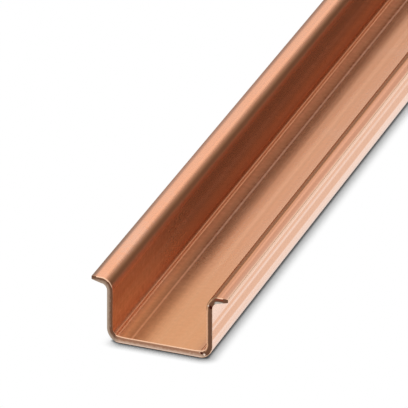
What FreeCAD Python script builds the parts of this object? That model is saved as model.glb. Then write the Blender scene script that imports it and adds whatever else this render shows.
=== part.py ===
"""A top-hat mounting rail, 35 mm wide and 15 mm deep, rolled from one strip of 1.5 mm copper.

Lengths are in millimetres. The rail lies on the back of its channel with the channel open upwards.
X runs across the rail, Y along it and Z up. The origin is the middle of the underside.
"""

import FreeCAD, Part
import os
from math import acos, atan2, cos, hypot, pi, sin, tan

import Sketcher
from FreeCAD import Vector

# Driving dimensions: the cell's alias, its value and what it measures
SIZES = [
    ("rail_length", 1000.0, "length the stock is cut to"),
    ("rail_depth", 15.0, "underside of the floor to the top of the flanges"),
    ("channel_width", 27.0, "across the outer faces of the two walls"),
    ("flange_width", 4.0, "each flange, from the wall's outer face to the tip"),
    ("sheet_thickness", 1.5, "the strip, in the floor, the walls and the flanges"),
    ("floor_bend_radius", 1.7, "inside of the bend from floor to wall"),
    ("flange_bend_radius", 1.5, "inside of the bend from wall to flange"),
    ("tip_thickness", 0.72, "the flange at its tip: it is rolled thinner from the bend outwards"),
    ("tip_edge_radius", 0.3, "both long edges of each flange's tip"),
    ("end_edge_chamfer", 0.15, "the deburred edges round each cut end"),
]
START, END, CENTRE = range(1, 4)
SKETCH_ORIGIN = (-1, START)
RIGHT = 0
UP = pi / 2
LEFT = pi
DOWN = 3 * pi / 2


def add_sheet(doc):
    """The driving dimensions as a spreadsheet, and the same values by alias."""
    sheet = doc.addObject("Spreadsheet::Sheet", "Sizes")
    for row, (alias, value, meaning) in enumerate(SIZES, start=1):
        sheet.set(f"A{row}", alias)
        sheet.set(f"B{row}", str(value))
        sheet.set(f"C{row}", meaning)
        sheet.setAlias(f"B{row}", alias)
    doc.recompute()
    return {alias: float(sheet.get(alias)) for alias, _, _ in SIZES}


def origin_feature(body, role):
    """One of the body's own origin planes or axes, found by its role."""
    return next(f for f in body.Origin.OriginFeatures if f.Role == role)


def line(x1, z1, x2, z2):
    return Part.LineSegment(Vector(x1, z1, 0), Vector(x2, z2, 0))


def arc(x, z, radius, first, last):
    return Part.ArcOfCircle(Part.Circle(Vector(x, z, 0), Vector(0, 0, 1), radius), first, last)


def half_section(size):
    """The right half of the section, one line or arc after the other, from the centre line and back."""
    wall_out = size["channel_width"] / 2
    wall_in = wall_out - size["sheet_thickness"]
    floor_top = size["sheet_thickness"]
    top = size["rail_depth"]
    tip = wall_out + size["flange_width"]
    tip_under = top - size["tip_thickness"]
    floor_bend = size["floor_bend_radius"]
    flange_bend = size["flange_bend_radius"]
    edge = size["tip_edge_radius"]

    floor_x = wall_in - floor_bend
    floor_z = floor_top + floor_bend
    flange_x = wall_out + flange_bend
    flange_z = top - size["sheet_thickness"] - flange_bend

    # The flange's underside leaves the bend's arc as a tangent and rises to the tip.
    reach = hypot(tip - flange_x, tip_under - flange_z)
    slope = atan2(tip_under - flange_z, tip - flange_x) + acos(flange_bend / reach) - UP
    taper_start = (flange_x - flange_bend * sin(slope), flange_z + flange_bend * cos(slope))

    # The lower edge of the tip is rounded between the sloping underside and the upright tip face.
    lower_z = tip_under + edge * (1 / cos(slope) - tan(slope))
    lower_x = tip - edge
    taper_end = (lower_x + edge * sin(slope), lower_z - edge * cos(slope))

    return {
        "floor_under": line(0, 0, floor_x, 0),
        "floor_bend_outside": arc(floor_x, floor_z, floor_bend + floor_top, DOWN, 2 * pi),
        "wall_outside": line(wall_out, floor_z, wall_out, flange_z),
        "flange_bend_inside": arc(flange_x, flange_z, flange_bend, UP + slope, LEFT),
        "flange_under": line(*taper_start, *taper_end),
        "tip_edge_lower": arc(lower_x, lower_z, edge, slope - UP, RIGHT),
        "tip_face": line(tip, lower_z, tip, top - edge),
        "tip_edge_upper": arc(tip - edge, top - edge, edge, RIGHT, UP),
        "flange_top": line(tip - edge, top, flange_x, top),
        "flange_bend_outside": arc(flange_x, flange_z, flange_bend + floor_top, UP, LEFT),
        "wall_inside": line(wall_in, flange_z, wall_in, floor_z),
        "floor_bend_inside": arc(floor_x, floor_z, floor_bend, DOWN, 2 * pi),
        "floor_top": line(floor_x, floor_top, 0, floor_top),
        "centre_line": line(0, floor_top, 0, 0),
    }


# Where one piece of the outline meets the next: piece, its end, next piece, its end, and how they meet
JOINTS = [
    ("floor_under", END, "floor_bend_outside", START, "Tangent"),
    ("floor_bend_outside", END, "wall_outside", START, "Tangent"),
    ("wall_outside", END, "flange_bend_inside", END, "Tangent"),
    ("flange_bend_inside", START, "flange_under", START, "Tangent"),
    ("flange_under", END, "tip_edge_lower", START, "Tangent"),
    ("tip_edge_lower", END, "tip_face", START, "Tangent"),
    ("tip_face", END, "tip_edge_upper", START, "Tangent"),
    ("tip_edge_upper", END, "flange_top", START, "Tangent"),
    ("flange_top", END, "flange_bend_outside", START, "Tangent"),
    ("flange_bend_outside", END, "wall_inside", START, "Tangent"),
    ("wall_inside", END, "floor_bend_inside", END, "Tangent"),
    ("floor_bend_inside", START, "floor_top", START, "Tangent"),
    ("floor_top", END, "centre_line", START, "Coincident"),
    ("centre_line", END, "floor_under", START, "Coincident"),
    ("floor_bend_outside", CENTRE, "floor_bend_inside", CENTRE, "Coincident"),
    ("flange_bend_outside", CENTRE, "flange_bend_inside", CENTRE, "Coincident"),
]
LEVEL = ["floor_under", "flange_top", "floor_top"]
UPRIGHT = ["wall_outside", "tip_face", "wall_inside", "centre_line"]


def draw_section(sketch, size):
    """Draws the half section and ties each of its dimensions to a cell of the spreadsheet.

    Both arcs of a bend share one centre, so the strip keeps its thickness from the floor to the flange.
    """
    pieces = half_section(size)
    index = {name: sketch.addGeometry(piece, False) for name, piece in pieces.items()}

    def fix(kind, *places):
        return sketch.addConstraint(Sketcher.Constraint(kind, *places))

    def measure(name, kind, places, value, formula):
        sketch.renameConstraint(fix(kind, *places, value), name)
        sketch.setExpression(f"Constraints.{name}", formula)

    for first, first_end, second, second_end, kind in JOINTS:
        fix(kind, index[first], first_end, index[second], second_end)
    for name in LEVEL:
        fix("Horizontal", index[name])
    for name in UPRIGHT:
        fix("Vertical", index[name])
    fix("Coincident", index["floor_under"], START, *SKETCH_ORIGIN)

    # The tip's thickness is taken where its underside and its face would meet in a sharp corner.
    tip_x = size["channel_width"] / 2 + size["flange_width"]
    tip_z = size["rail_depth"] - size["tip_thickness"]
    corner = sketch.addGeometry(Part.Point(Vector(tip_x, tip_z, 0)), True)
    fix("PointOnObject", corner, START, index["flange_under"])
    fix("PointOnObject", corner, START, index["tip_face"])

    wall = (index["wall_outside"], END)
    tip = (index["tip_face"], START)
    top = (index["flange_top"], START)
    measure("half_channel", "DistanceX", (*SKETCH_ORIGIN, *wall),
            size["channel_width"] / 2, "Sizes.channel_width / 2")
    measure("depth", "DistanceY", (*SKETCH_ORIGIN, *top),
            size["rail_depth"], "Sizes.rail_depth")
    measure("flange", "DistanceX", (*wall, *tip),
            size["flange_width"], "Sizes.flange_width")
    measure("strip", "DistanceX", (index["wall_inside"], START, *wall),
            size["sheet_thickness"], "Sizes.sheet_thickness")
    measure("floor_bend", "Radius", (index["floor_bend_inside"],),
            size["floor_bend_radius"], "Sizes.floor_bend_radius")
    measure("flange_bend", "Radius", (index["flange_bend_inside"],),
            size["flange_bend_radius"], "Sizes.flange_bend_radius")
    measure("tip_plate", "DistanceY", (corner, START, *top),
            size["tip_thickness"], "Sizes.tip_thickness")
    for edge in ("tip_edge_upper", "tip_edge_lower"):
        measure(edge, "Radius", (index[edge],), size["tip_edge_radius"], "Sizes.tip_edge_radius")


def end_faces(shape):
    """The names of the two flat faces that were cut square across the rail."""
    names = []
    for number, face in enumerate(shape.Faces, start=1):
        if face.Surface.TypeId == "Part::GeomPlane" and abs(abs(face.normalAt(0, 0).y) - 1) < 1e-6:
            names.append(f"Face{number}")
    return names


def add_rail(doc, size):
    """The whole rail as one solid: half a section pulled to length, mirrored and deburred at its ends."""
    body = doc.addObject("PartDesign::Body", "DinRail")
    body.Label = "din_rail"

    sketch = body.newObject("Sketcher::SketchObject", "HalfSection")
    sketch.AttachmentSupport = [(origin_feature(body, "XZ_Plane"), "")]
    sketch.MapMode = "FlatFace"
    doc.recompute()
    draw_section(sketch, size)
    doc.recompute()

    pull = body.newObject("PartDesign::Pad", "HalfRail")
    pull.Profile = sketch
    pull.SideType = "Symmetric"
    pull.setExpression("Length", "Sizes.rail_length")
    sketch.Visibility = False
    doc.recompute()

    whole = body.newObject("PartDesign::Mirrored", "BothHalves")
    whole.Originals = [pull]
    whole.MirrorPlane = (origin_feature(body, "YZ_Plane"), [""])
    whole.Refine = True
    body.Tip = whole
    doc.recompute()

    deburr = body.newObject("PartDesign::Chamfer", "DeburredEnds")
    deburr.Base = (whole, end_faces(whole.Shape))
    deburr.setExpression("Size", "Sizes.end_edge_chamfer")
    body.Tip = deburr
    doc.recompute()
    return body


def check(doc, body):
    """Stops before anything is written if an object failed or the rail isn't one sound solid."""
    for thing in doc.Objects:
        if "Invalid" in thing.State or "Error" in thing.State:
            raise RuntimeError(f"{thing.Label} failed: {thing.State}")
    shape = body.Shape
    if shape.isNull() or not shape.isValid() or len(shape.Solids) != 1:
        raise RuntimeError(f"{body.Label} isn't one valid solid")


def main():
    doc = FreeCAD.newDocument("TopHatRail")
    size = add_sheet(doc)
    body = add_rail(doc, size)
    check(doc, body)
    os.makedirs("parts", exist_ok=True)
    body.Shape.exportStep(f"parts/{body.Label}.step")

    box = body.Shape.BoundBox
    print(f"{body.Label}: {box.XLength:.2f} x {box.YLength:.2f} x {box.ZLength:.2f} mm,"
          f" {body.Shape.Volume:.1f} mm3, {len(body.Shape.Faces)} faces")


main()
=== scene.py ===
import math

import bmesh
import bpy
from mathutils import Matrix, Vector


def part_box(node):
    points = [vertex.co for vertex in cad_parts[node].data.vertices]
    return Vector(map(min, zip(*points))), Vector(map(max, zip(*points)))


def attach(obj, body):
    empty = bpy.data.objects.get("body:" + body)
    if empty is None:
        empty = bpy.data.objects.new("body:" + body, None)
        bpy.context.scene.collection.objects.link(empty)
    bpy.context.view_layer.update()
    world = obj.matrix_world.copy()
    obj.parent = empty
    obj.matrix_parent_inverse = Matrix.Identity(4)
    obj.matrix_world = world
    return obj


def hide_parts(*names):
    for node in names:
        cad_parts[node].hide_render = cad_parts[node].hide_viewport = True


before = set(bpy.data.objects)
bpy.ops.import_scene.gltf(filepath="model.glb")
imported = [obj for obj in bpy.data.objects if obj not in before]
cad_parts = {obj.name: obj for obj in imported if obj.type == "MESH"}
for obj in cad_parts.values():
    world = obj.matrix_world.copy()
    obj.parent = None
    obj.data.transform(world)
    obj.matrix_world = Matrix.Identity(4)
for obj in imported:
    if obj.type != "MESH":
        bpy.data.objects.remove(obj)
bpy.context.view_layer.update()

mm = 0.001
railLow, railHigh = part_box("din_rail")
bpy.ops.object.select_all(action="DESELECT")


# Picks what the next operator works on, by its place, in the mesh that is being edited
def pick(kind, test):
    mesh = bpy.context.edit_object.data
    shape = bmesh.from_edit_mesh(mesh)
    bpy.ops.mesh.select_mode(type=kind)
    bpy.ops.mesh.select_all(action="DESELECT")
    if kind == "VERT":
        for vert in shape.verts:
            vert.select_set(test(vert.co))
    elif kind == "EDGE":
        for edge in shape.edges:
            edge.select_set(all(test(vert.co) for vert in edge.verts))
    else:
        for face in shape.faces:
            face.select_set(test(face))
    shape.select_flush_mode()
    bmesh.update_edit_mesh(mesh)


def near(a, b, reach=0.03 * mm):
    return abs(a - b) < reach


def extrudeBy(x, y, z):
    bpy.ops.mesh.extrude_region_move(TRANSFORM_OT_translate={"value": (x, y, z)})


# Node trees as expressions: a Wire is one socket of a tree, and sums and products of wires add Math nodes
class Wire:
    def __init__(self, tree, socket):
        self.tree = tree
        self.socket = socket

    def size(self):
        return self.join("ABSOLUTE")

    def atLeast(self, other):
        return self.join("MAXIMUM", other)

    # Another output of the node that this wire comes from
    def output(self, name):
        return Wire(self.tree, self.socket.node.outputs[name])

    def join(self, operation, *others):
        return self.tree.add("ShaderNodeMath", {"operation": operation}, [self, *others])

    def __add__(self, other):
        return self.join("ADD", other)

    def __sub__(self, other):
        return self.join("SUBTRACT", other)

    def __mul__(self, other):
        return self.join("MULTIPLY", other)

    def __truediv__(self, other):
        return self.join("DIVIDE", other)

    def __pow__(self, other):
        return self.join("POWER", other)

    def __radd__(self, other):
        return self.join("ADD", other)

    def __rmul__(self, other):
        return self.join("MULTIPLY", other)

    def __rsub__(self, other):
        return self.tree.add("ShaderNodeMath", {"operation": "SUBTRACT"}, [other, self])


class Tree:
    def __init__(self, nodeTree):
        self.nodes = nodeTree.nodes
        self.links = nodeTree.links
        self.nodes.clear()

    # One node: its type, its settings, then the values or wires of its sockets, by name or by number
    def add(self, kind, settings=None, sockets=(), out=0):
        node = self.nodes.new(kind)
        for name, value in (settings or {}).items():
            setattr(node, name, value)
        pairs = sockets.items() if isinstance(sockets, dict) else enumerate(sockets)
        for name, value in pairs:
            if isinstance(value, Wire):
                self.links.new(value.socket, node.inputs[name])
            else:
                node.inputs[name].default_value = value
        return Wire(self, node.outputs[out]) if node.outputs else None

    # A value that goes from 0 at low to 1 at high, with soft ends
    def step(self, wire, low, high):
        settings = {"interpolation_type": "SMOOTHSTEP"}
        return self.add("ShaderNodeMapRange", settings, {"Value": wire, "From Min": low, "From Max": high})

    # The same across the soft edge of a zone, whose start and end are in mm
    def past(self, wire, edge):
        return self.step(wire, edge[0] * mm, edge[1] * mm)

    def before(self, wire, edge):
        return 1 - self.past(wire, edge)

    def mix(self, share, first, second):
        settings = {"data_type": "RGBA"}
        return self.add("ShaderNodeMix", settings, {0: share, 6: first, 7: second}, out=2)


# The rail: one strip with two walls and two flanges
rail = {
    "thickness": 1.5 * mm,
    "channelWidth": 27 * mm,        # over the outer faces of the walls
    "floorBend": 1.7 * mm,          # inside radius
    "flangeBend": 1.5 * mm,         # inside radius
    "bendSegments": 14,
    "tipThickness": 0.9 * mm,       # under the level of the flange top
    "flangeSlope": 1.5,             # degrees: the flange springs back and rises towards its tip
    "tipSlope": 7,                  # degrees: the tip itself curves down
    "tipCurve": 2.0 * mm,           # from the one slope to the other
    "tipSteps": 8,
    "tipEdge": 0.1 * mm,            # radius of both edges of a tip
    "tipEdgeSegments": 5,
    "lineSteps": 7,                 # steps of the floor bend, from the wall, that stay round
    "rollLines": (                  # below them the rolls leave flat lines: width in mm, slope in degrees
        (0.34, 14),
        (0.22, 64),
        (0.24, 0),
        (0.30, 15),
    ),
    "footFrom": 7.8 * mm,           # from here the floor curves up to those lines
    "endEdge": 0.2 * mm,            # deburred edge round each cut end
    "endEdgeSegments": 3,
    "smoothAngle": 9,               # degrees: sharper edges than this stay sharp
}


def makeRail():
    thickness = rail["thickness"]
    length = railHigh.y - railLow.y
    wallX = (rail["channelWidth"] - thickness) / 2
    floorZ = thickness / 2
    flangeZ = railHigh.z - thickness / 2
    tipX = railHigh.x
    floorRadius = rail["floorBend"] + thickness / 2
    flangeRadius = rail["flangeBend"] + thickness / 2

    # the middle surface of the strip: floor, walls, flanges
    bpy.ops.mesh.primitive_plane_add(size=2 * wallX, location=(0, 0, floorZ))
    piece = bpy.context.object
    piece.name = "rolled_rail"
    bpy.ops.object.transform_apply(location=True)
    bpy.ops.object.mode_set(mode="EDIT")
    bpy.ops.transform.resize(value=(1, length / (2 * wallX), 1))
    pick("EDGE", lambda co: near(co.x, wallX))
    extrudeBy(0, 0, flangeZ - floorZ)
    extrudeBy(tipX - wallX, 0, 0)
    pick("EDGE", lambda co: near(co.x, -wallX) and near(co.z, floorZ))
    extrudeBy(0, 0, flangeZ - floorZ)
    extrudeBy(wallX - tipX, 0, 0)

    # the four bends
    for height, radius in ((floorZ, floorRadius), (flangeZ, flangeRadius)):
        pick("EDGE", lambda co: near(abs(co.x), wallX) and near(co.z, height))
        bpy.ops.mesh.bevel(offset=radius, segments=rail["bendSegments"], affect="EDGES")
    bpy.ops.object.mode_set(mode="OBJECT")

    solid = piece.modifiers.new("strip", "SOLIDIFY")
    solid.thickness = thickness
    solid.offset = 0
    solid.use_even_offset = True
    bpy.ops.object.modifier_apply(modifier=solid.name)

    # the lines that the rolls leave along the foot of each wall, and the floor's rise up to them
    bpy.ops.object.mode_set(mode="EDIT")
    bend = rail["floorBend"]
    footX = wallX - floorRadius
    turns = [math.radians(90 * step / rail["bendSegments"]) for step in range(rail["bendSegments"] + 1)]
    footLoops = [(footX + bend * math.cos(turn), thickness + bend * (1 - math.sin(turn))) for turn in turns]
    lineX, lineZ = footLoops[rail["lineSteps"]]
    moved = []
    for width, slope in rail["rollLines"]:
        lineX = lineX - width * mm * math.cos(math.radians(slope))
        lineZ = lineZ - width * mm * math.sin(math.radians(slope))
        moved.append((lineX, lineZ))
    restCount = len(footLoops) - rail["lineSteps"] - 1 - len(moved)
    for number in range(1, restCount + 1):
        share = number / (restCount + 1)
        restX = lineX + (rail["footFrom"] - lineX) * share
        rise = ((restX - rail["footFrom"]) / (lineX - rail["footFrom"])) ** 2
        moved.append((restX, thickness + (lineZ - thickness) * rise))
    for (loopX, loopZ), (newX, newZ) in reversed(list(zip(footLoops[rail["lineSteps"] + 1:], moved))):
        for side in (-1, 1):
            pick("VERT", lambda co: near(co.x, side * loopX) and near(co.z, loopZ))
            bpy.ops.transform.translate(value=(side * (newX - loopX), 0, newZ - loopZ))
    for side in (-1, 1):
        bpy.ops.mesh.select_all(action="SELECT")
        bpy.ops.mesh.bisect(plane_co=(side * rail["footFrom"], 0, 0), plane_no=(1, 0, 0))
        pick("VERT", lambda co: near(co.x, side * rail["footFrom"]) and co.z > thickness)
        bpy.ops.transform.resize(value=(1, 1, 0), orient_type="GLOBAL", center_override=(0, 0, thickness))

    # the flanges thin out from the bend to the tip: below in a straight line, above over a low crest
    pick("VERT", lambda co: near(abs(co.x), tipX) and co.z < flangeZ)
    bpy.ops.transform.translate(value=(0, 0, thickness - rail["tipThickness"]))
    inner = math.tan(math.radians(rail["flangeSlope"]))
    outer = math.tan(math.radians(rail["tipSlope"]))
    curve = rail["tipCurve"]
    crest = curve * outer / (inner + outer)
    topLoops = [curve * step / rail["tipSteps"] for step in range(rail["tipSteps"] + 1)]
    for distance in topLoops[1:]:
        for side in (-1, 1):
            bpy.ops.mesh.select_all(action="SELECT")
            bpy.ops.mesh.bisect(plane_co=(side * (tipX - distance), 0, 0), plane_no=(1, 0, 0))
    for distance in topLoops + [tipX - wallX - flangeRadius]:
        curved = min(distance, curve)
        drop = (inner + outer) / curve / 2 * (curved - crest) ** 2 + inner * (distance - curved)
        pick("VERT", lambda co: near(abs(co.x), tipX - distance) and near(co.z, railHigh.z))
        bpy.ops.transform.translate(value=(0, 0, -drop))

    # both long edges of each tip
    pick("EDGE", lambda co: near(abs(co.x), tipX))
    shape = bmesh.from_edit_mesh(piece.data)
    for edge in shape.edges:
        edge.select_set(edge.select and near(edge.verts[0].co.z, edge.verts[1].co.z))
    bmesh.update_edit_mesh(piece.data)
    bpy.ops.mesh.bevel(offset=rail["tipEdge"], segments=rail["tipEdgeSegments"], affect="EDGES")

    # both cut ends, with their edges broken
    pick("FACE", lambda face: abs(face.normal.y) > 0.9)
    bpy.ops.mesh.region_to_loop()
    bpy.ops.mesh.bevel(offset=rail["endEdge"], segments=rail["endEdgeSegments"], affect="EDGES")
    bpy.ops.object.mode_set(mode="OBJECT")

    bpy.ops.object.shade_smooth_by_angle(angle=math.radians(rail["smoothAngle"]))
    weighted = piece.modifiers.new("flat faces stay flat", "WEIGHTED_NORMAL")
    weighted.keep_sharp = True
    bpy.ops.object.modifier_apply(modifier=weighted.name)
    return piece


# Copper strip as it leaves the rolls: fine lines run along it, and its tone and gloss vary in long streaks
copper = {
    "tone": (0.80, 0.39, 0.21, 1),
    "redTone": (0.76, 0.34, 0.17, 1),
    "paleTone": (0.86, 0.52, 0.37, 1),
    "goldTone": (0.80, 0.40, 0.18, 1),      # the channel's floor near the ends
    "wallShadeTone": (0.51, 0.227, 0.12, 1),     # the inside of the walls: painted shade, left out towards the ends
    "wallShadeStreak": (0.62, 0.255, 0.12, 1),
    "leftBendShade": (0.48, 0.20, 0.095, 1),     # painted dark reflection: a dark line in the bend above the left wall
    "outerReflection": (0.86, 0.60, 0.48, 1),     # the outside of the walls: paler, a painted reflection of the white floor
    "outerStreak": (0.80, 0.42, 0.25, 1),
    "outerBand": (0.70, 0.35, 0.195, 1),    # in one band along it, and fainter in another above
    "flangeHighlight": (0.95, 0.45, 0.26, 1),    # the top of the left flange: a painted highlight
    "flangeMottle": (0.93, 0.50, 0.33, 1),
    "rightTopShade": (0.65, 0.275, 0.14, 1),     # the top of the right flange: painted shade, darker than the left one
    "rightStreak": (0.85, 0.385, 0.225, 1),
    "shadeLineTone": (0.58, 0.25, 0.13, 1),      # its painted dark line
    "bendShade": (0.64, 0.23, 0.07, 1),      # painted shade on the bend up to it
    "bendFootShade": (0.55, 0.185, 0.05, 1),     # darker painted shade on that bend's lower part
    "bendEdgeShade": (0.32, 0.18, 0.10, 1),      # painted shade on its broken edge at each cut end
    "tipShade": (0.60, 0.32, 0.21, 1),       # painted shade towards the tips of the flanges
    "tipDarkShade": (0.25, 0.15, 0.09, 1),       # and darker painted shade on the left tip near the ends
    "rimHighlight": (0.95, 0.64, 0.45, 1),       # a painted highlight on the tips themselves and the broken edges of the cut ends
    "glintLine": -7.1 * mm,                # where a painted highlight runs along the channel's floor, as a pale line
    "brightLine": 15.6 * mm,                # the painted highlight line and the painted dark line on the right flange
    "shadeLine": 16.45 * mm,

    "edges": {                      # soft edges of the zones, in mm: where each one starts and ends
        "floorSide": (9, 11),           # the channel's floor, from the middle and in height
        "floorLevel": (1.2, 1.4),
        "innerWall": (11.3, 11.6),      # the inside of the walls
        "innerWallTop": (12, 13.5),
        "rightWall": (11, 11.8),
        "rightWallTop": (11, 12),
        "outside": (13.0, 13.4),        # the outside of the walls, up to the flanges
        "outsideTop": (14.15, 14.4),
        "bandLow": (4.2, 5.0),          # its two bands and the plainer part above them, in height
        "bandHigh": (6.2, 6.9),
        "upperBandLow": (7.4, 7.8),
        "upperBandHigh": (8.2, 8.6),
        "plainer": (9, 10.5),
        "middle": (-1, 1),              # from the left half to the right one
        "farRight": (0, 6),             # the right part of the floor, paler: a painted reflection
        "leftBendLow": (13, 13.7),
        "leftBendHigh": (13.9, 14.5),
        "leftTop": (-13, -12),
        "rightTopShade": (14.4, 15.2),
        "topLevel": (14.3, 14.9),       # the tops of both flanges, in height
        "rightBendLow": (11.2, 12.2),
        "rightBendSide": (11, 11.5),
        "bendFootTop": (14.2, 14.7),
        "bendsLow": (11, 12.5),         # the bends up to both flanges
        "bendsHigh": (14.6, 14.95),
        "tips": (16.0, 17.0),
        "paleTip": (16.95, 17.3),
        "tipRims": (17.35, 17.45),
        "endRims": (499.79, 499.83),    # along the rail: the broken edges of the cut ends
        "endRimsSide": (16.1, 16.7),
        "nearEnds": (435, 495),          # along the rail: towards its ends, where hands touch the strip most; the inner walls lose their painted shade there, and the left tip gets darker painted shade
        "glintLine": (0.05, 0.45),     # to each side of the lines
        "brightLine": (0.05, 0.4),
        "shadeLine": (0.15, 0.7),
        "footSide": (-9.6, -6.8),       # the floor beside the left wall
        "footWall": (-11.6, -11.2),
    },
    "levels": {                     # how strong a noise is where its tone starts and where it is full
        "red": (0.42, 0.66),
        "paleStreaks": (0.5, 0.75),
        "paleClouds": (0.5, 0.8),
        "paleGrain": (0.45, 0.75),
        "wallStreaks": (0.12, 0.45),
        "outerStreaks": (0.38, 0.78),
        "mottle": (0.44, 0.58),
        "rightStreaks": (0.4, 0.6),
    },
    "shares": {                     # how far each tone covers what is under it
        "paleStreaks": 0.14,
        "paleClouds": 0.2,
        "paleGrain": 0.08,
        "handledGrain": 0.14,           # added towards the ends
        "glint": 0.85,
        "farRight": 0.45,
        "gold": 0.7,
        "outside": 0.95,
        "band": 0.85,
        "upperBand": 0.5,
        "bandStreaks": 0.55,            # streaks that a band adds, and those that are missing above
        "plainer": 0.12,
        "cloudMottle": 0.6,             # how much of the mottle is clouds, and how much grain
        "grainMottle": 0.4,
        "mottle": 0.3,
        "handledMottle": 0.7,
        "bright": 0.6,
        "shadedLine": 0.6,
        "rightTopShade": 0.95,
        "tips": 0.8,
        "rightTip": 0.5,                # less by this on the right, but by little near the ends
        "nearEndsTip": 0.4,
        "tipDarkShade": 0.55,
        "paleTip": 0.55,
        "tipRims": 0.25,
        "rims": 0.85,
    },
    "wallFade": 40,                 # per metre: the streaks of the inner walls fade out upwards

    "roughness": 0.09,
    "streakBlur": 0.06,             # added to it in the narrow streaks
    "cloudBlur": 0.05,
    "floorBlur": 0.04,
    "bendBlur": 0.16,               # and on the bends up to the flanges
    "hazeRoughness": 0.5,           # a second, wide gloss under the sharp one, as rolled metal has
    "haze": 0.2,                    # its share
    "wideHaze": 0.25,               # how much it varies in the streaks and the grain
    "narrowHaze": 0.2,
    "grainHaze": 0.3,
    "bendGrain": 0.25,              # less of that on the bends
    "glintHaze": 0.4,              # added on the painted highlight line of the floor
    "footHaze": 0.42,               # on the floor beside the left wall
    "rightHaze": 0.2,               # on the inside of the right wall
    "bendHaze": 0.08,               # on the bends up to the flanges
    "endHaze": 0.3,                 # inside the channel towards the ends
    "rimHaze": 0.35,                # and on the broken edges of the cut ends

    "lineLength": 0.006,            # size of the pattern across the rail over its size along the rail
    "wideStreaks": (420, 2, 0.55),  # waves per metre across the rail, detail and roughness of the noise
    "narrowStreaks": (1500, 3, 0.55),
    "fineLines": (5200, 2, 0.55),
    "clouds": (60, 4, 0.5),         # and these two reach as far along the rail as across
    "grain": (800, 3, 0.5),
    "waveHeight": 0.016 * mm,
    "flatBends": 0.8,               # how much of the waves the bends press flat
    "lineHeight": 0.002 * mm,
    "narrowLines": 0.7,             # parts of the narrow streaks and the fine lines in the relief
    "finestLines": 0.5,
}


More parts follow.
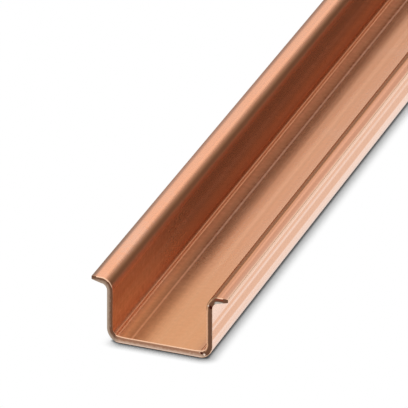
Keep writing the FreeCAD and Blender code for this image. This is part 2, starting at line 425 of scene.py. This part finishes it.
def copperMaterial():
    material = bpy.data.materials.new("rolled copper")
    material.use_nodes = True
    tree = Tree(material.node_tree)
    edges = copper["edges"]
    levels = copper["levels"]
    shares = copper["shares"]
    place = tree.add("ShaderNodeTexCoord", out="Object")
    drawn = tree.add("ShaderNodeMapping", None, {"Vector": place, "Scale": (1, copper["lineLength"], 1)})

    def noise(vector, name):
        waves, detail, roughness = copper[name]
        sockets = {"Vector": vector, "Scale": waves, "Detail": detail, "Roughness": roughness}
        return tree.add("ShaderNodeTexNoise", None, sockets)

    wide = noise(drawn, "wideStreaks")
    narrow = noise(drawn, "narrowStreaks")
    fine = noise(drawn, "fineLines")
    clouds = noise(place, "clouds")
    grain = noise(place, "grain")

    # the zones of the rail, each 1 inside and 0 outside
    across = tree.add("ShaderNodeSeparateXYZ", None, [place])
    along = across.output("Y")
    height = across.output("Z")
    reach = across.size()
    outside = tree.past(reach, edges["outside"]) * tree.before(height, edges["outsideTop"])
    channelFloor = tree.before(reach, edges["floorSide"]) * tree.past(height, edges["floorLevel"])
    rightWall = tree.past(across, edges["rightWall"]) * (1 - outside)
    rightWall = rightWall * tree.before(height, edges["rightWallTop"])
    rightSide = tree.past(across, edges["middle"])
    # the bend above the left wall, where its painted dark reflection goes
    leftBendShade = tree.past(height, edges["leftBendLow"]) * tree.before(height, edges["leftBendHigh"])
    leftBendShade = leftBendShade * (1 - rightSide) * (1 - outside)
    leftTop = tree.past(height, edges["topLevel"]) * tree.before(across, edges["leftTop"])
    nearEnds = tree.past(along.size(), edges["nearEnds"])
    innerWall = tree.past(reach, edges["innerWall"]) * (1 - outside)
    innerWall = innerWall * tree.before(height, edges["innerWallTop"])
    bends = tree.past(height, edges["bendsLow"]) * tree.before(height, edges["bendsHigh"])
    tips = tree.past(reach, edges["tips"])
    # the top of the right flange, where its painted shade goes
    rightTopShade = tree.past(height, edges["topLevel"]) * tree.past(across, edges["rightTopShade"])
    rightBend = tree.past(height, edges["rightBendLow"]) * tree.past(across, edges["rightBendSide"])
    rightBend = rightBend * (1 - rightTopShade) * (1 - outside)
    endRims = tree.past(along.size(), edges["endRims"]) * tree.before(reach, edges["endRimsSide"])
    rims = (tree.past(reach, edges["tipRims"]) * shares["tipRims"]).atLeast(endRims)
    # a painted highlight line along the channel's floor
    glint = tree.before((across - copper["glintLine"]).size(), edges["glintLine"]) * channelFloor
    # the right part of the floor, painted paler as a reflection, but not near the ends
    farRight = tree.past(across, edges["farRight"]) * channelFloor * (1 - nearEnds)

    # the tone of the strip, and of the channel's floor, with a painted highlight line and a paler painted
    # reflection on its right part
    redder = tree.mix(tree.step(wide, *levels["red"]), copper["tone"], copper["redTone"])
    paler = tree.step(narrow, *levels["paleStreaks"]) * shares["paleStreaks"]
    paler = paler + tree.step(clouds, *levels["paleClouds"]) * shares["paleClouds"]
    grainShare = shares["paleGrain"] + nearEnds * shares["handledGrain"]
    paler = paler + tree.step(grain, *levels["paleGrain"]) * grainShare
    paler = paler + glint * shares["glint"] + farRight * shares["farRight"]
    color = tree.mix(paler, redder, copper["paleTone"])
    color = tree.mix(nearEnds * channelFloor * shares["gold"], color, copper["goldTone"])

    # the walls, outside and inside: a painted reflection of the white floor outside, painted shade inside
    upperBand = shares["upperBand"] * tree.past(height, edges["upperBandLow"])
    upperBand = upperBand * tree.before(height, edges["upperBandHigh"])
    band = tree.past(height, edges["bandLow"]) * tree.before(height, edges["bandHigh"]) + upperBand
    streaked = wide + band * shares["bandStreaks"] - tree.past(height, edges["plainer"]) * shares["plainer"]
    streaked = tree.step(streaked, *levels["outerStreaks"])
    # the outside of the walls: a painted reflection of the white floor, paler than the copper, with its
    # streaks and bands
    outerReflectionColor = tree.mix(streaked, copper["outerReflection"], copper["outerStreak"])
    outerReflectionColor = tree.mix(band * shares["band"], outerReflectionColor, copper["outerBand"])
    color = tree.mix(outside * shares["outside"], color, outerReflectionColor)
    # painted shade on the inner walls, with streaks that fade upwards, left out towards the ends
    wallStreaks = tree.step(wide - height * copper["wallFade"], *levels["wallStreaks"])
    wallShadeColor = tree.mix(wallStreaks, copper["wallShadeTone"], copper["wallShadeStreak"])
    color = tree.mix(innerWall * (1 - nearEnds), color, wallShadeColor)

    # the left flange and its bend: a painted dark reflection in the bend, a painted highlight on the top
    color = tree.mix(leftBendShade, color, copper["leftBendShade"])
    mottle = tree.step(clouds * shares["cloudMottle"] + grain * shares["grainMottle"], *levels["mottle"])
    mottle = mottle * (shares["mottle"] + nearEnds * shares["handledMottle"])
    color = tree.mix(leftTop, color, tree.mix(mottle, copper["flangeHighlight"], copper["flangeMottle"]))

    # the right flange and its bend: painted shade, with a painted highlight line and a painted dark line
    rightStreaks = tree.step(narrow, *levels["rightStreaks"])
    rightColor = tree.mix(rightStreaks, copper["rightTopShade"], copper["rightStreak"])
    # a painted highlight line and a painted dark line along the right flange
    bright = tree.before((across - copper["brightLine"]).size(), edges["brightLine"])
    shadedLine = tree.before((across - copper["shadeLine"]).size(), edges["shadeLine"])
    rightColor = tree.mix(bright * shares["bright"], rightColor, copper["flangeHighlight"])
    rightColor = tree.mix(shadedLine * shares["shadedLine"], rightColor, copper["shadeLineTone"])
    color = tree.mix(rightTopShade * shares["rightTopShade"], color, rightColor)
    # painted shade on the bend up to the right flange, darker low down
    bendShadeColor = tree.mix(tree.past(height, edges["bendFootTop"]), copper["bendFootShade"], copper["bendShade"])
    color = tree.mix(rightBend, color, bendShadeColor)

    # the tips and the broken edges: painted shade towards the tips, painted highlights on the tips and edges
    tipShare = shares["tips"] - rightSide * (shares["rightTip"] - nearEnds * shares["nearEndsTip"])
    color = tree.mix(tips * tipShare, color, copper["tipShade"])
    color = tree.mix(tips * nearEnds * (1 - rightSide) * shares["tipDarkShade"], color, copper["tipDarkShade"])
    # a painted highlight along the right tip and on the rims
    paleTip = tree.past(across, edges["paleTip"])
    color = tree.mix(paleTip * shares["paleTip"], color, copper["rimHighlight"])
    color = tree.mix(rims * shares["rims"], color, copper["rimHighlight"])
    # painted shade on the broken edge of that bend at the cut ends
    color = tree.mix(endRims * rightBend, color, copper["bendEdgeShade"])

    # the gloss: how sharp it is, and how much of it is haze
    gloss = copper["roughness"] + narrow * copper["streakBlur"] + clouds * copper["cloudBlur"]
    gloss = gloss + channelFloor * copper["floorBlur"] + bends * copper["bendBlur"]
    foot = tree.before(across, edges["footSide"]) * tree.past(across, edges["footWall"])
    haze = copper["haze"] + (wide - 0.5) * copper["wideHaze"] + (narrow - 0.5) * copper["narrowHaze"]
    haze = haze + glint * copper["glintHaze"]
    haze = haze + (grain - 0.5) * (copper["grainHaze"] - bends * copper["bendGrain"])
    haze = haze + foot * copper["footHaze"] + rightWall * copper["rightHaze"]
    haze = haze + nearEnds * (channelFloor + innerWall) * copper["endHaze"] + bends * copper["bendHaze"]
    haze = haze + endRims * copper["rimHaze"]

    waves = tree.add("ShaderNodeBump", None, {
        "Height": wide * (1 - bends * copper["flatBends"]),
        "Strength": 1,
        "Distance": copper["waveHeight"],
    })
    lines = tree.add("ShaderNodeBump", None, {
        "Height": narrow * copper["narrowLines"] + fine * copper["finestLines"],
        "Strength": 1,
        "Distance": copper["lineHeight"],
        "Normal": waves,
    })
    sharp = tree.add("ShaderNodeBsdfPrincipled", None, {
        "Base Color": color,
        "Metallic": 1.0,
        "Roughness": gloss,
        "Normal": lines,
    })
    soft = tree.add("ShaderNodeBsdfPrincipled", None, {
        "Base Color": color,
        "Metallic": 1.0,
        "Roughness": copper["hazeRoughness"],
        "Normal": lines,
    })
    surface = tree.add("ShaderNodeMixShader", None, [haze, sharp, soft])
    tree.add("ShaderNodeOutputMaterial", None, {"Surface": surface})
    return material


# The sawn end of the strip: duller and greyer than the rolled faces, with painted shade darkest towards the
# channel and a paler painted reflection of the floor on the outside
cutEnd = {
    # the painted reflection on the outside, and the painted shade towards the channel
    "light": (0.38, 0.28, 0.21, 1),
    "dark": (0.15, 0.07, 0.04, 1),
    "floorLight": (0.64, 0.43, 0.31, 1),    # the same two along the floor
    "floorDark": (0.36, 0.18, 0.11, 1),
    "floorEdgeHighlight": (0.95, 0.78, 0.70, 1),     # and its lower edge: a painted highlight
    "flangeRed": (0.22, 0.05, 0.025, 1),    # the upper part of the right flange: dark red painted shade
    "flangeGleam": (0.48, 0.44, 0.39, 1),   # and its lower part: a painted gleam
    "innerEdgeReflection": (0.60, 0.32, 0.18, 1),         # a painted reflection of the floor on the broken edge inside the right wall
    "torn": (0.05, 0.006, 0.003, 1),
    "burrGlint": (0.90, 0.70, 0.58, 1),
    "nicks": (                      # small torn spots of the front end and their burrs, the burrs as pale painted glints: x, z and radius in mm
        (11.5, 0.9, 0.30, "burrGlint"),
        (10.2, 1.2, 0.16, "burrGlint"),
        (12.5, 12.7, 0.22, "burrGlint"),
        (10.8, 1.1, 0.34, "torn"),
        (13.1, 12.4, 0.46, "torn"),
    ),
    "nickEdge": (0.8, 1.4),         # where one starts to fade and has faded out, in radii
    "nickRagged": 0.2,              # mm: how ragged it is

    "edges": {                      # soft edges of the zones, in mm
        "upper": (7, 8),                # from the floor's bends to the flanges', in height
        "right": (11.3, 12.3),          # the right wall and flange
        "floorTop": (1.4, 2.6),         # the floor between its bends
        "floorSide": (10.2, 11.6),
        "flange": (13.9, 14.4),         # the right flange from its bend to the tip
        "flangeTip": (16.0, 16.6),
        "innerEdgeReflectionSide": (13.2, 14.2),      # that painted reflection ends here
        "front": (0, 1),                # along the rail: only the front end has the nicks
    },
    "depths": {                     # soft edges through the strip: 0 is the channel's side, 1 the outside
        "light": (0.55, 1.05),
        "floorEdgeHighlight": (0.7, 0.95),
        "flangeRed": (0.3, 0.5),
        "flangeGleam": (0.58, 0.74),
        "innerEdgeReflection": (0.32, 0.45),
    },
    "ragged": 0.6,                  # how far the saw's lines move the edge of the dark side
    "floorDarker": 0.06,            # how much further the dark side reaches on the floor
    "rightDarker": 0.55,            # and on the right
    "innerEdgeReflectionRagged": 0.2,
    "roughness": 0.36,
    "sawBlur": 0.12,                # added to it in the saw's lines
    "streaks": 1500,                # waves per metre along the strip
    "streakRows": 3,                # and through its thickness
    "streakDetail": 3,
    "lineHeight": 0.015 * mm,

    # which faces of a cut end are sawn
    "squareFrom": 0.99,             # a normal that points this far along the rail is the cut itself
    "edgeFrom": 0.3,                # and this far, one of its broken edges
    "levelTo": 0.2,                 # a broken edge whose normal rises or falls by less is an upright one
    "tip": 1.2 * mm,                # from the tips of the flanges
    "leftFoot": -11.2 * mm,
}


def cutMaterial():
    material = bpy.data.materials.new("sawn copper")
    material.use_nodes = True
    tree = Tree(material.node_tree)
    edges = cutEnd["edges"]
    depths = cutEnd["depths"]
    place = tree.add("ShaderNodeTexCoord", out="Object")
    across = tree.add("ShaderNodeSeparateXYZ", None, [place])
    along = across.output("Y")
    height = across.output("Z")
    reach = across.size()

    # how deep a point lies in the strip: 0 on the channel's side, 1 on the outside
    thickness = rail["thickness"]
    wallIn = rail["channelWidth"] / 2 - thickness
    lowX = wallIn - rail["floorBend"]
    lowZ = thickness + rail["floorBend"]
    highX = rail["channelWidth"] / 2 + rail["flangeBend"]
    highZ = railHigh.z - thickness - rail["flangeBend"]
    lowRadius = ((reach - lowX).atLeast(0) ** 2 + (lowZ - height).atLeast(0) ** 2) ** 0.5
    highRadius = ((highX - reach).atLeast(0) ** 2 + (height - highZ).atLeast(0) ** 2) ** 0.5
    lowDepth = (lowRadius - rail["floorBend"]) / thickness
    highDepth = (rail["flangeBend"] + thickness - highRadius) / thickness
    upper = tree.past(height, edges["upper"])
    depth = lowDepth * (1 - upper) + highDepth * upper

    drawn = tree.add("ShaderNodeCombineXYZ", None, [
        across * cutEnd["streaks"],
        depth * cutEnd["streakRows"],
        height * cutEnd["streaks"],
    ])
    sawSockets = {"Vector": drawn, "Scale": 1, "Detail": cutEnd["streakDetail"]}
    saw = tree.add("ShaderNodeTexNoise", None, sawSockets)

    rightSide = tree.past(across, edges["right"])
    low = tree.before(height, edges["floorTop"]) * tree.before(reach, edges["floorSide"])
    flange = tree.past(across, edges["flange"]) * tree.before(across, edges["flangeTip"])
    # painted shade towards the channel and a painted reflection of the floor on the outside, with ragged
    # edges from the saw's lines
    lighter = depth + saw * cutEnd["ragged"] - low * cutEnd["floorDarker"] - rightSide * cutEnd["rightDarker"]
    lighter = tree.step(lighter, *depths["light"])
    light = tree.mix(low, cutEnd["light"], cutEnd["floorLight"])
    dark = tree.mix(low, cutEnd["dark"], cutEnd["floorDark"])
    color = tree.mix(lighter, dark, light)
    # a painted highlight on the floor strip's lower edge
    color = tree.mix(low * tree.step(depth, *depths["floorEdgeHighlight"]), color, cutEnd["floorEdgeHighlight"])
    # painted shade and a painted gleam on the right flange's cut end
    color = tree.mix(flange * (1 - tree.step(depth, *depths["flangeRed"])), color, cutEnd["flangeRed"])
    color = tree.mix(flange * tree.step(depth, *depths["flangeGleam"]), color, cutEnd["flangeGleam"])
    # a painted reflection of the floor on the broken edge inside the right wall
    reflectedEdge = rightSide * (1 - tree.step(depth + saw * cutEnd["innerEdgeReflectionRagged"], *depths["innerEdgeReflection"]))
    reflectedEdge = reflectedEdge * tree.before(across, edges["innerEdgeReflectionSide"])
    color = tree.mix(reflectedEdge, color, cutEnd["innerEdgeReflection"])
    full, gone = cutEnd["nickEdge"]
    # the torn spots, with painted glints on their burrs
    for nickX, nickZ, radius, tone in cutEnd["nicks"]:
        away = ((across - nickX * mm) ** 2 + (height - nickZ * mm) ** 2) ** 0.5
        away = away + saw * cutEnd["nickRagged"] * mm
        nick = 1 - tree.step(away, radius * mm * full, radius * mm * gone)
        color = tree.mix(nick * tree.before(along, edges["front"]), color, cutEnd[tone])

    relief = tree.add("ShaderNodeBump", None, {
        "Height": saw,
        "Strength": 1,
        "Distance": cutEnd["lineHeight"],
    })
    surface = tree.add("ShaderNodeBsdfPrincipled", None, {
        "Base Color": color,
        "Metallic": 1.0,
        "Roughness": cutEnd["roughness"] + saw * cutEnd["sawBlur"],
        "Normal": relief,
    })
    tree.add("ShaderNodeOutputMaterial", None, {"Surface": surface})
    return material


# The sawn faces and most of their broken edges; those above, below and inside the right wall keep the copper
# and its painted rim highlight
def isCut(face):
    middle = face.calc_center_median()
    normal = face.normal
    third = railHigh.z / 3
    if abs(normal.y) > cutEnd["squareFrom"]:
        return True
    if abs(normal.y) < cutEnd["edgeFrom"]:
        return False
    if abs(middle.x) > railHigh.x - cutEnd["tip"]:
        return True
    if middle.x < cutEnd["leftFoot"] and middle.z < third:
        return True
    if normal.z > cutEnd["levelTo"]:
        return False
    if normal.z > -cutEnd["levelTo"]:
        return middle.x < 0 or normal.x > 0
    return middle.z > third


railPiece = makeRail()
railPiece.data.materials.append(copperMaterial())
railPiece.data.materials.append(cutMaterial())
bpy.ops.object.mode_set(mode="EDIT")
pick("FACE", isCut)
railPiece.active_material_index = 1
bpy.ops.object.material_slot_assign()
bpy.ops.object.mode_set(mode="OBJECT")
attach(railPiece, "root")
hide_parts("din_rail")
print("rail:", len(railPiece.data.polygons), "faces")


# Studio: a white floor under soft light, dim behind the rail: low down, and higher up too on the right
studio = {
    "floorSize": 60,                # metres
    "floorColor": 0.8,              # as it lights the rail
    "floorMirrored": 1.1,           # as it shows in the copper
    "shadows": (                    # reach in mm, direction that the light comes from, depth
        (3.5, (-0.33, 0.94, 0.10), 1.0),
        (0.9, (0.0, 0.0, 1.0), 0.75),
    ),
    "shadowStart": 0.36,            # how open the sky is where the shadow is full
    "shadowEnd": 0.94,              # and where it ends
    "shadowMirrored": 0.3,          # how strongly it shows in the copper
    "shadowSamples": 12,

    # a direction's parts: how far right, how far behind the rail and how steeply up it points
    "level": 1.0,                   # brightness of the soft light
    "horizon": 0.62,                # what it falls to at the horizon
    "levelRise": (0, 0.45),         # from there up to the full level
    "overhead": 0.2,                # added straight above
    "overheadRise": (0.6, 0.9),
    "dimLeft": 0.36,                # brightness of the dim part, on the left
    "dimRight": 0.12,               # and on the right
    "dimBehind": (0.6, 0.8),        # where it begins, going round to behind the rail
    "dimRise": (0.34, 0.39),        # where it ends upwards on the left
    "dimRightRise": (0.6, 0.85),    # and on the right
    "dimSide": (-0.08, 0.32),       # from the one height to the other
    "dimRightFrom": 0,              # how far right its brightness starts to fall
}


def makeFloor():
    bpy.ops.mesh.primitive_plane_add(size=studio["floorSize"], location=(0, 0, 0))
    floor = bpy.context.object
    floor.name = "floor"
    material = bpy.data.materials.new("white floor")
    material.use_nodes = True
    tree = Tree(material.node_tree)
    seen = tree.add("ShaderNodeLightPath", out="Is Camera Ray")
    mirrored = seen.output("Is Glossy Ray")
    shadow = 1
    for reach, direction, share in studio["shadows"]:
        lean = tree.add("ShaderNodeCombineXYZ", None, direction)
        settings = {"samples": studio["shadowSamples"]}
        sockets = {"Distance": reach * mm, "Normal": lean}
        openSky = tree.add("ShaderNodeAmbientOcclusion", settings, sockets, out="AO")
        shadow = shadow * (1 - share * (1 - tree.step(openSky, studio["shadowStart"], studio["shadowEnd"])))
    fainter = 1 - studio["shadowMirrored"] * (1 - shadow)
    white = tree.add("ShaderNodeEmission", None, {
        "Color": (1, 1, 1, 1),
        "Strength": shadow * seen + fainter * mirrored * studio["floorMirrored"],
    })
    grey = studio["floorColor"]
    matte = tree.add("ShaderNodeBsdfDiffuse", None, {"Color": (grey, grey, grey, 1)})
    surface = tree.add("ShaderNodeMixShader", None, [seen + mirrored, matte, white])
    tree.add("ShaderNodeOutputMaterial", None, {"Surface": surface})
    floor.data.materials.append(material)


makeFloor()
print("floor: white, with a contact shadow")


def makeWorld():
    world = bpy.data.worlds.new("studio")
    bpy.context.scene.world = world
    world.use_nodes = True
    tree = Tree(world.node_tree)
    direction = tree.add("ShaderNodeTexCoord", out="Generated")
    right = tree.add("ShaderNodeSeparateXYZ", None, [direction])
    behind = right.output("Y")
    rise = right.output("Z")
    lit = (1 - tree.step(right, *studio["dimSide"])) * tree.step(rise, *studio["dimRise"])
    lit = lit + tree.step(rise, *studio["dimRightRise"]) * (1 - lit)
    corner = tree.step(behind, *studio["dimBehind"]) * (1 - lit)
    soft = studio["horizon"] + tree.step(rise, *studio["levelRise"]) * (studio["level"] - studio["horizon"])
    above = tree.step(rise, *studio["overheadRise"]) * studio["overhead"]
    onRight = tree.step(right, studio["dimRightFrom"], studio["dimSide"][1])
    dim = studio["dimLeft"] + onRight * (studio["dimRight"] - studio["dimLeft"])
    glow = soft * (1 - corner) + corner * dim + above
    seen = tree.add("ShaderNodeLightPath", out="Is Camera Ray")
    shade = seen + (1 - seen) * glow
    light = tree.add("ShaderNodeBackground", None, {"Color": (1, 1, 1, 1), "Strength": shade})
    tree.add("ShaderNodeOutputWorld", None, {"Surface": light})


makeWorld()
print("light: soft all round, dim behind on the right")


# The photograph was taken with an upright film plane: the view looks down, yet uprights stay parallel.
camera = {
    "azimuth": 20.65,                        # degrees
    "elevation": 24.56,
    "lens": 663.6,                           # mm
    "sensor": 36,                            # mm
    "clip": (0.01, 100),                     # metres
    "place": (586.4 * mm, -1525.7 * mm, 781.9 * mm),   # from the middle of the front end's lower edge
}


def makeCamera():
    turn = math.radians(camera["azimuth"])
    rise = math.radians(camera["elevation"])
    across = Vector((math.cos(turn), math.sin(turn), 0))
    back = Vector((math.sin(turn) * math.cos(rise), -math.cos(turn) * math.cos(rise), math.sin(rise)))
    place = Vector(camera["place"]) + Vector((0, railLow.y, 0))
    data = bpy.data.cameras.new("camera")
    data.lens = camera["lens"]
    data.sensor_width = camera["sensor"]
    data.clip_start, data.clip_end = camera["clip"]
    eye = bpy.data.objects.new("camera", data)
    stand = bpy.data.objects.new("camera stand", None)
    for thing in (eye, stand):
        bpy.context.scene.collection.objects.link(thing)
    eye.parent = stand

    # the film's axes: across, straight up, and back along the line of sight
    film = Matrix.Identity(4)
    for column, axis in enumerate((across, Vector((0, 0, 1)), back, place)):
        for row in range(3):
            film[row][column] = axis[row]
    eye.matrix_parent_inverse = film
    bpy.context.scene.camera = eye


makeCamera()
bpy.context.scene.view_settings.view_transform = "Standard"
print("camera:", camera["lens"], "mm, from", camera["azimuth"], "degrees")
